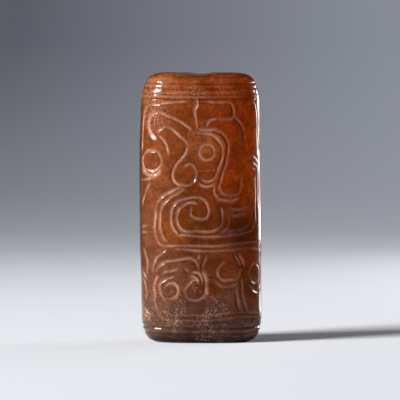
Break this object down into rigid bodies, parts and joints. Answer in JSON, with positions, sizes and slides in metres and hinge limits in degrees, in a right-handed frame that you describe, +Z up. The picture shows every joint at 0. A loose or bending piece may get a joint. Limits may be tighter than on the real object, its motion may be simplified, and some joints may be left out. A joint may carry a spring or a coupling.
{
  "type": "jade tube pendant",
  "caption": "Carved amber-brown jade tube bead with a flattened rounded section, ribbed ends and a lengthwise bore for a cord; bird and scroll lines run over its faces.",
  "frame": {"origin": "middle of the flat foot that the tube stands on, at the bottom centre of its box", "axes": "+Z up along the bore; +Y through the thickness, so the carved front faces -Y; +X across the width, to the right as seen from the front"},
  "size_m": [0.0248, 0.015, 0.0544],
  "materials": {
    "russet_jade": "polished"
  },
  "bodies": {
    "root": {"jade_tube": "russet_jade"}
  },
  "joints": []
}
